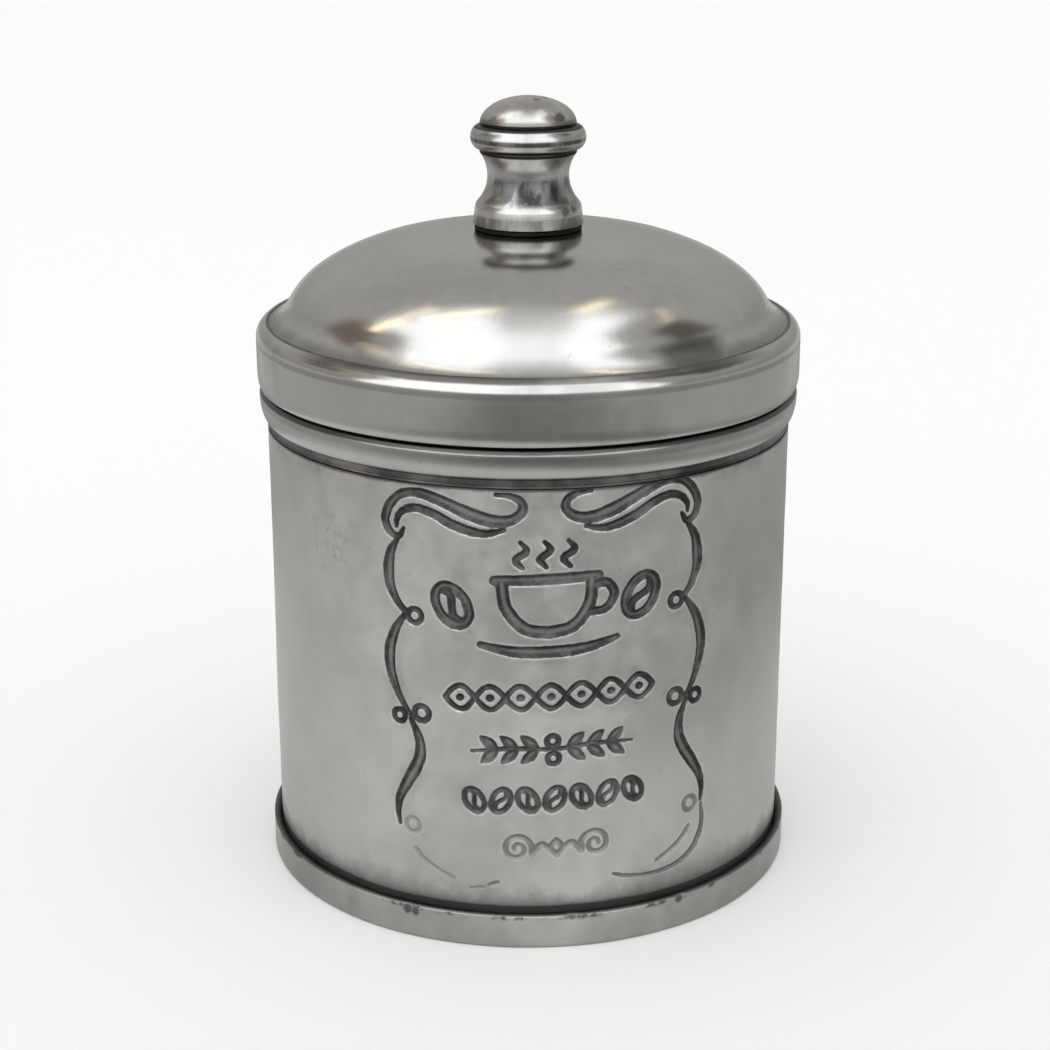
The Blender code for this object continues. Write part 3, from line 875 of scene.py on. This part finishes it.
def seal_ring():
    """Rubber ring with a shallow groove underneath for the neck's rim."""
    low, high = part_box("lid_seal")
    inner, outer = 47.4 * MM, high.x
    groove = low.z + 0.35 * MM
    outline = [(inner, high.z), (inner, low.z + 0.4 * MM), (inner + 0.4 * MM, low.z)]
    outline += [(48.6 * MM, low.z), (49.0 * MM, groove), (49.9 * MM, groove)]
    outline += [(outer - 0.3 * MM, low.z), (outer, low.z + 0.3 * MM), (outer, high.z)]
    return turned("rubber_seal", outline, 192)


# ---------------------------------------------------------------- knob

# Heights up the knob.
FOOT_OF_KNOB = 126.2 * MM
WAIST_HEIGHT = 133.5 * MM
GROOVE_HEIGHT = 137.8 * MM
KNOB_BEAD_HEIGHT = 140.6 * MM
CAP_BOTTOM = 143.0 * MM

# Azimuth, radius, height, size and depth of small knocks on the knob, in degrees and millimetres.
KNOB_KNOCKS = [
    (28.0, 3.4, 147.6, 1.0, 0.12), (75.0, 3.0, 147.7, 0.9, 0.1), (44.0, 8.2, 144.7, 1.4, 0.14),
    (44.0, 9.6, 127.6, 1.5, 0.2), (58.0, 9.5, 127.9, 1.2, 0.15), (-120.0, 9.9, 128.6, 1.3, 0.15),
]


def knob():
    """Foot, hollow waist, bead between two grooves, and a domed cap."""
    foot, foot_round, foot_flare = 10.05 * MM, 2.06 * MM, 10.36 * MM
    waist, hollow = 7.67 * MM, 7.1 * MM
    bead, bead_half, bead_core = 10.8 * MM, 2.25 * MM, 9.0 * MM
    cap = 9.05 * MM
    bore, bore_top = 2.25 * MM, 136.0 * MM
    edge = 0.2 * MM
    waist_centre, round_centre = waist + hollow, foot - foot_round
    reach, across = foot_round + hollow, waist + hollow - foot + foot_round
    round_height = WAIST_HEIGHT - math.sqrt(reach**2 - across**2)
    meeting = math.degrees(math.acos(across / reach))
    rise = math.degrees(math.asin((GROOVE_HEIGHT - WAIST_HEIGHT) / hollow))
    outline = [(0.0, bore_top), (bore, bore_top), (bore, KNOB_BOTTOM)]
    outline += arc(foot_flare - edge, KNOB_BOTTOM + edge, edge, edge, -90.0, 0.0, 3)
    outline += arc(round_centre, round_height, foot_round, foot_round, 0.0, meeting, 10)
    outline += arc(waist_centre, WAIST_HEIGHT, hollow, hollow, 178.0 + meeting, 180.0 - rise, 30)
    neck = outline[-1][0]
    outline += [(neck - 0.3 * MM, GROOVE_HEIGHT + 0.12 * MM), (neck - 0.35 * MM, GROOVE_HEIGHT + 0.35 * MM)]
    outline += arc(bead_core, KNOB_BEAD_HEIGHT, bead - bead_core, bead_half, -84.0, 84.0, 26)
    outline += [(cap - 0.35 * MM, CAP_BOTTOM - 0.05 * MM), (cap - 0.35 * MM, CAP_BOTTOM + 0.1 * MM)]
    outline += arc(0.0, CAP_BOTTOM, cap, KNOB_TOP - CAP_BOTTOM, 3.0, 86.0, 22)
    outline += [(0.0, KNOB_TOP)]
    piece = turned("turned_knob", outline, 192, 0.02 * MM, 6.0 * MM, 31)
    for azimuth, radius, height, size, depth in KNOB_KNOCKS:
        dent(piece, azimuth, radius * MM, height * MM, size * MM, depth * MM)
    return piece


def knob_patina_and_shade(f):
    """Black in the grooves, painted shade in the hollow of the waist, a painted dark reflection band on the
    bead, and darker round the foot, in upright smudges."""
    smudge = f.ramp(f.noise(330.0, 4.0, 0.65, stretch=(1.0, 1.0, 0.22), seat=(2.0, 5.0, 1.0)), 0.36, 0.62)
    low = f.product(band(f, GROOVE_HEIGHT - 0.2 * MM, GROOVE_HEIGHT + 0.8 * MM, 0.3 * MM), 0.93)
    high = f.product(band(f, CAP_BOTTOM - 0.55 * MM, CAP_BOTTOM + 0.35 * MM, 0.3 * MM), 0.95)
    # Painted dark reflection band just under the bead's middle.
    bead = band(f, KNOB_BEAD_HEIGHT - 0.55 * MM, KNOB_BEAD_HEIGHT, 0.3 * MM)
    bead = f.product(bead, f.ramp(smudge, 0.0, 1.0, 0.5, 0.85))
    # Painted shade in the hollow of the waist: a dark patch at the front.
    hollow = f.spot(14.0, 8.2 * MM, WAIST_HEIGHT - 2.5 * MM, 6.5 * MM, 0.25)
    hollow = f.product(hollow, band(f, WAIST_HEIGHT - 4.2 * MM, WAIST_HEIGHT - 0.5 * MM, 1.2 * MM))
    hollow = f.product(hollow, f.ramp(smudge, 0.0, 1.0, 0.72, 0.95))
    # Painted shade round the waist.
    waist = band(f, WAIST_HEIGHT - 4.1 * MM, WAIST_HEIGHT - 0.7 * MM, 1.6 * MM)
    waist = f.product(waist, f.ramp(smudge, 0.0, 1.0, 0.2, 0.75))
    foot = f.product(band(f, 0.0, FOOT_OF_KNOB, 0.7 * MM), f.ramp(smudge, 0.0, 1.0, 0.3, 0.6))
    cap = f.product(band(f, CAP_BOTTOM, CAP_BOTTOM + 0.7 * MM, 0.8 * MM), 0.6)
    marks = 0.0
    for azimuth, radius, height, size, _ in KNOB_KNOCKS:
        marks = f.most(marks, f.spot(azimuth, radius * MM, height * MM, size * MM))
    return f.most(
        low, high, bead, hollow, waist, foot, cap, f.product(smudge, 0.14), f.product(marks, 0.65)
    )


# ---------------------------------------------------------------- assembly

def plain_finish(name, colour, roughness, metallic, grain):
    f = Finish(name)
    tone = f.ramp(f.noise(300.0, 4.0, 0.6), 0.35, 0.65)
    darker = tuple(c * 0.7 for c in colour[:3]) + (1.0,)
    normal = f.bump(f.noise(1500.0, 3.0, 0.6), grain, 0.8)
    rough = f.ramp(f.noise(120.0, 3.0, 0.5), 0.3, 0.7, roughness * 0.85, roughness * 1.15)
    f.surface(Base_Color=f.mix(tone, darker, colour), Roughness=rough, Metallic=metallic, Normal=normal)
    return f.surface(Specular_IOR_Level=0.5 if metallic else 0.2)


def build_tin():
    wall_finish = pewter("engraved_pewter", 0.46, 0.4, wall_dirt, wall_lip_highlight, spun=0.1, clouds=0.08)
    foot_finish = pewter("foot_pewter", 0.43, 0.32, foot_patina_and_shade, spun=0.3)
    collar_finish = pewter("collar_pewter", 0.45, 0.17, collar_patina_and_shade, spun=0.25, clouds=0.06)
    dome_finish = pewter("dome_pewter", 0.45, 0.16, dome_patina_and_reflections, spun=0.3, clouds=0.06)
    skirt_finish = pewter("skirt_pewter", 0.45, 0.16, skirt_shade_and_stains, spun=0.3, clouds=0.06)
    knob_finish = pewter("knob_pewter", 0.44, 0.2, knob_patina_and_shade, spun=0.4, clouds=0.12)
    inside_finish = pewter("inside_tin", 0.5, 0.36, spun=0.3)
    rubber = plain_finish("seal_rubber", (0.035, 0.035, 0.034, 1.0), 0.7, 0.0, 0.03 * MM)
    fibre = plain_finish("washer_fibre", (0.006, 0.006, 0.006, 1.0), 0.9, 0.0, 0.05 * MM)
    steel = plain_finish("plain_steel", (0.52, 0.52, 0.53, 1.0), 0.3, 1.0, 0.01 * MM)

    place(engraved_wall(), wall_finish, "canister", "satin_pewter", "body_wall")
    place(foot_band(), foot_finish, "canister", "satin_pewter", "foot_ring")
    place(base_plate(), inside_finish, "canister", "inner_tin", "base_disc")
    place(collar(), collar_finish, "canister", "polished_pewter", "neck_collar")
    place(seal_ring(), rubber, "seal", "seal_rubber", "lid_seal")
    place(skirt(), skirt_finish, "lid", "polished_pewter", "lid_skirt")
    place(dome(), dome_finish, "lid", "polished_pewter", "lid_dome")
    place(knob(), knob_finish, "lid", "polished_pewter", "knob")
    for node, finish in (("knob_washer", fibre), ("screw_washer", steel), ("knob_screw", steel)):
        mesh = frame["nodes"][node].data
        mesh.materials.clear()
        mesh.materials.append(finish)


# ---------------------------------------------------------------- studio

def floor():
    """A pale floor. In reflections it is a pale table top that gives way to a darker room."""
    size = 12.0
    corners = np.array([[-size, -size, 0], [size, -size, 0], [size, size, 0], [-size, size, 0]], float)
    corners[:, 2] = -0.05 * MM
    plane = mesh_object("studio_floor", corners, [(0, 1, 2, 3)], 0.0)
    f = Finish("pale_floor")
    pale = (0.95, 0.95, 0.95, 1.0)
    near = (0.8, 0.8, 0.79, 1.0)
    far_behind, far_beside = (0.24, 0.235, 0.225, 1.0), (0.54, 0.535, 0.52, 1.0)
    path = f.node("ShaderNodeLightPath")
    split = f.node("ShaderNodeSeparateXYZ", {0: f.place})
    away = f.vector("DISTANCE", f.place, (-0.035, 0.0, 0.0))
    sideways = f.math("ABSOLUTE", split.outputs["X"])
    far = f.mix(f.ramp(sideways, 0.06, 0.3), far_behind, far_beside)
    seen_in_metal = f.mix(f.ramp(away, 0.14, 0.23), near, far)
    colour = f.mix(path.outputs["Is Glossy Ray"], pale, seen_in_metal)
    plane.data.materials.append(f.surface(Base_Color=colour, Roughness=0.95))


def overhead(side, over):
    """Unit vector from degrees to the right of the middle plane, and degrees up from the
    horizon in front: 90 is straight up and 180 the horizon behind."""
    a, b = math.radians(side), math.radians(over)
    return np.array([math.sin(a), -math.cos(a) * math.cos(b), math.cos(a) * math.sin(b)])


# Ceiling lamps as strips: both ends as (side, over) in degrees, half-width and radiance.
LAMPS = [
    ((-50.0, 95.0), (-37.0, 98.5), 0.04, (4.2, 3.6, 2.6)),
    ((-37.0, 100.0), (-22.0, 106.0), 0.024, (3.0, 2.7, 2.1)),
    ((-27.0, 96.5), (-8.0, 99.5), 0.022, (4.6, 4.2, 3.3)),
    ((12.5, 99.0), (15.5, 111.0), 0.022, (4.0, 3.5, 2.6)),
    ((40.0, 100.0), (31.0, 111.0), 0.016, (2.3, 2.0, 1.5)),
]


WALL_LOW = (0.42, 0.415, 0.4, 1.0)
WALL_HIGH = (0.6, 0.595, 0.58, 1.0)
WINDOW_LIGHT = (2.28, 2.34, 2.38, 1.0)
RIGHT_FURNITURE = (0.14, 0.13, 0.11, 1.0)
LEFT_FURNITURE = (0.2, 0.155, 0.12, 1.0)


def room(n, towards):
    """Brightness of the room that the metal reflects: a tall window in front that narrows
    overhead, dimmer walls, dark furniture on both sides, and warm lamps on the ceiling."""
    split = n.node("ShaderNodeSeparateXYZ", {0: towards})
    forward = n.math("MULTIPLY", split.outputs["Y"], -1.0)
    azimuth = n.math("DEGREES", n.math("ARCTAN2", split.outputs["X"], forward))
    elevation = n.math("DEGREES", n.math("ARCSINE", split.outputs["Z"]))
    over = n.math("DEGREES", n.math("ARCTAN2", split.outputs["Z"], forward))
    side = n.math("DEGREES", n.math("ARCSINE", split.outputs["X"]))
    wall = n.mix(n.ramp(elevation, 0.0, 30.0), WALL_LOW, WALL_HIGH)
    right_dark = n.between(azimuth, 86.0, 102.0, 11.0, 8.0)
    right_dark = n.product(right_dark, n.between(elevation, 31.0, 45.0, 9.0, 7.0))
    left_dark = n.between(azimuth, -108.0, -92.0, 10.0, 8.0)
    left_dark = n.product(left_dark, n.between(elevation, 22.0, 38.0, 9.0, 8.0))
    wall = n.mix(n.product(right_dark, 0.92), wall, RIGHT_FURNITURE)
    wall = n.mix(n.product(left_dark, 0.85), wall, LEFT_FURNITURE)
    narrowing = n.ramp(over, 20.0, 75.0)
    left_edge = n.ramp(n.math("SUBTRACT", side, n.product(narrowing, 28.5)), -78.0, -66.0)
    right_edge = n.ramp(n.math("ADD", side, n.product(narrowing, 29.5)), 51.0, 61.0, 1.0, 0.0)
    window = n.product(left_edge, right_edge, n.between(over, -3.0, 88.0, 4.0, 24.0))
    curtain = n.product(n.between(side, -6.0, 8.0, 7.0, 8.0), n.ramp(over, 55.0, 92.0, 0.22, 0.75))
    window = n.product(window, n.math("SUBTRACT", 1.0, curtain))
    colour = n.mix(window, wall, WINDOW_LIGHT)
    for first, last, width, lamp in LAMPS:
        start = overhead(*first)
        along = overhead(*last) - start
        from_start = n.vector("SUBTRACT", towards, tuple(start))
        reach = n.vector("DOT_PRODUCT", from_start, tuple(along / along.dot(along)))
        reach = n.math("MAXIMUM", n.math("MINIMUM", reach, 1.0), 0.0)
        near = n.node("ShaderNodeVectorMath", {0: tuple(along), "Scale": reach}, operation="SCALE")
        away = n.vector("DISTANCE", towards, n.vector("ADD", near.outputs[0], tuple(start)))
        colour = n.mix(n.ramp(away, 0.4 * width, 1.7 * width, 0.85, 0.0), colour, (*lamp, 1.0))
    return colour


def world():
    """Even white light for the floor, and a room with a window for the metal to reflect."""
    made = bpy.data.worlds.new("studio")
    bpy.context.scene.world = made
    made.use_nodes = True
    made.cycles.sampling_method = "NONE"
    made.node_tree.nodes.clear()
    n = Nodes(made.node_tree)
    towards = n.node("ShaderNodeTexCoord").outputs["Generated"]
    seen_in_metal = n.node("ShaderNodeBackground", {0: room(n, towards)})
    white = n.node("ShaderNodeBackground", {0: (1.0, 1.0, 1.0, 1.0)})
    path = n.node("ShaderNodeLightPath")
    mix = n.node("ShaderNodeMixShader", {0: path.outputs["Is Glossy Ray"], 1: white.outputs[0]})
    n.feed(mix.inputs[2], seen_in_metal.outputs[0])
    n.node("ShaderNodeOutputWorld", {0: mix.outputs[0]})


def softbox(name, location, target, width, height, radiance):
    """A soft light that shapes the shadow on the floor. The metal doesn't mirror it."""
    light = bpy.data.lights.new(name, "AREA")
    light.shape = "RECTANGLE"
    light.size = width
    light.size_y = height
    light.energy = radiance * math.pi * width * height
    made = bpy.data.objects.new(name, light)
    bpy.context.scene.collection.objects.link(made)
    made.location = location
    aim = Vector(target) - Vector(location)
    made.rotation_euler = aim.to_track_quat("-Z", "Y").to_euler()
    made.visible_camera = False
    made.visible_glossy = False
    return made


# The camera looks at a point on the axis. Its distance and the point's height are in wall radii.
CAMERA_ELEVATION = 17.81
CAMERA_DISTANCE = 8.461
CAMERA_TARGET = 1.294
CAMERA_LENS = 73.79
CAMERA_SHIFT = -0.0031


def camera():
    elevation = math.radians(CAMERA_ELEVATION)
    distance = CAMERA_DISTANCE * WALL_RADIUS
    target = Vector((0.0, 0.0, CAMERA_TARGET * WALL_RADIUS))
    data = bpy.data.cameras.new("camera")
    data.sensor_width = 36.0
    data.lens = CAMERA_LENS
    data.shift_x = CAMERA_SHIFT
    data.clip_start = 0.01
    made = bpy.data.objects.new("camera", data)
    bpy.context.scene.collection.objects.link(made)
    made.location = target + distance * Vector((0.0, -math.cos(elevation), math.sin(elevation)))
    made.rotation_euler = (math.pi / 2 - elevation, 0.0, 0.0)
    bpy.context.scene.camera = made


def studio():
    floor()
    world()
    bpy.context.scene.view_settings.view_transform = "Standard"
    softbox("key", (-0.5, -0.9, 1.3), (0.0, 0.0, 0.05), 0.9, 0.9, 0.5)
    camera()


build_tin()
studio()
